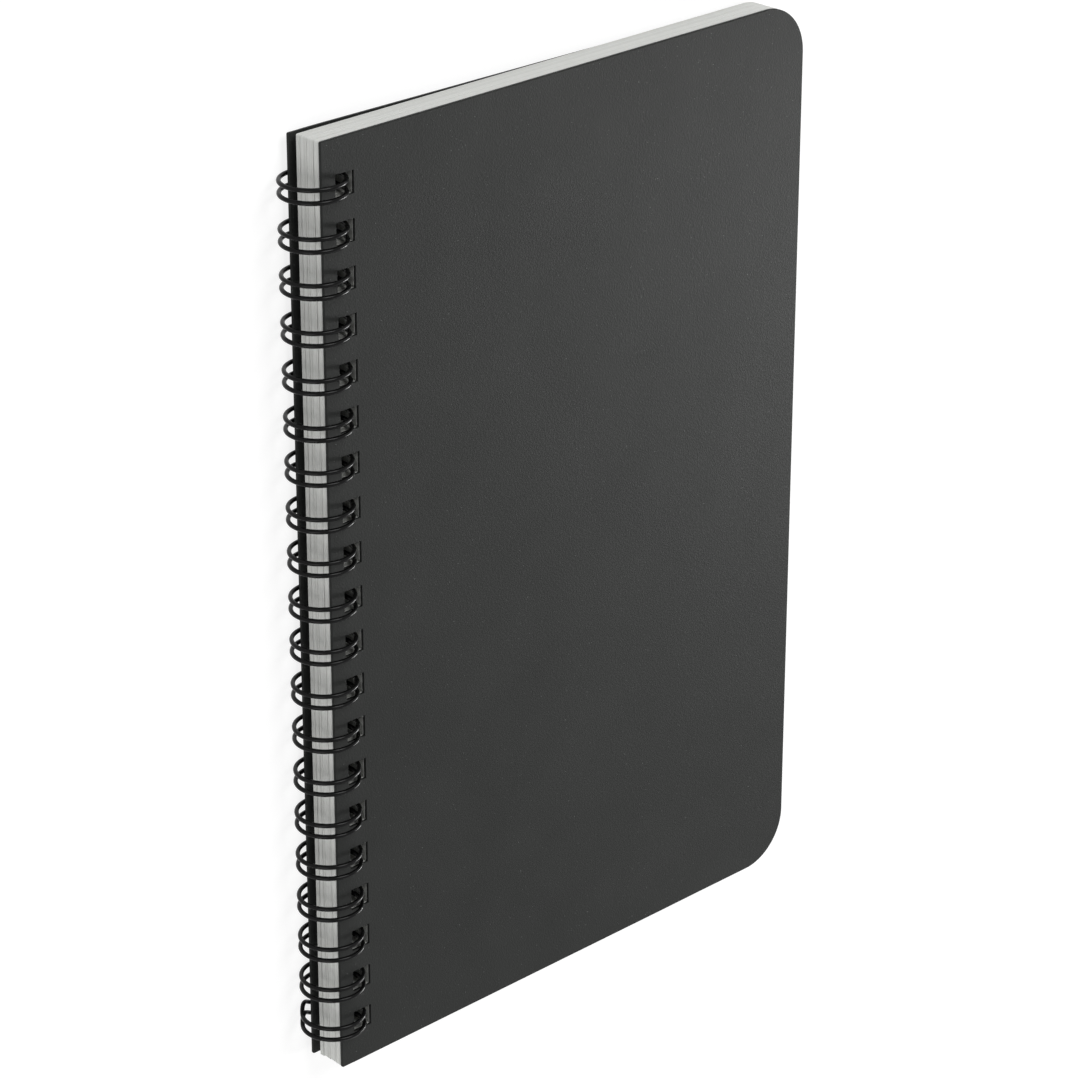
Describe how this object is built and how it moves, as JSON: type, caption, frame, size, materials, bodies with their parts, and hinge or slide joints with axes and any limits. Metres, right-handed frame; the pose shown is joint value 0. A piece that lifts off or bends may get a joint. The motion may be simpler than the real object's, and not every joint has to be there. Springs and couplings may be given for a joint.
{
  "type": "side spiral notebook",
  "caption": "Pocket notebook bound at the side with twin-loop wire: two polymer covers with rounded fore-edge corners around a block of sheets.",
  "frame": {"origin": "on the table, under the middle of the closed notebook's box", "axes": "+X from the bound edge to the fore-edge, +Y up the page along the binding, +Z out of the front cover"},
  "size_m": [0.1228, 0.1778, 0.0121],
  "materials": {
    "cover": "fine pebbled matte, moulded in colour",
    "paper": "uncoated matte, cut edges",
    "wire": "satin polymer-coated steel"
  },
  "bodies": {
    "bound_block": {"page_block": "paper", "binding_wire": "wire"},
    "front": {"front_cover": "cover"},
    "back": {"back_cover": "cover"}
  },
  "joints": [
    {"name": "front_cover_turn", "type": "hinge", "parent": "bound_block", "child": "front", "pos_m": [-0.05615, 0, 0.00658], "axis": [0, -1, 0], "range_deg": [0, 180]},
    {"name": "back_cover_turn", "type": "hinge", "parent": "bound_block", "child": "back", "pos_m": [-0.05535, 0, 0.00607], "axis": [0, 1, 0], "range_deg": [0, 180]}
  ]
}
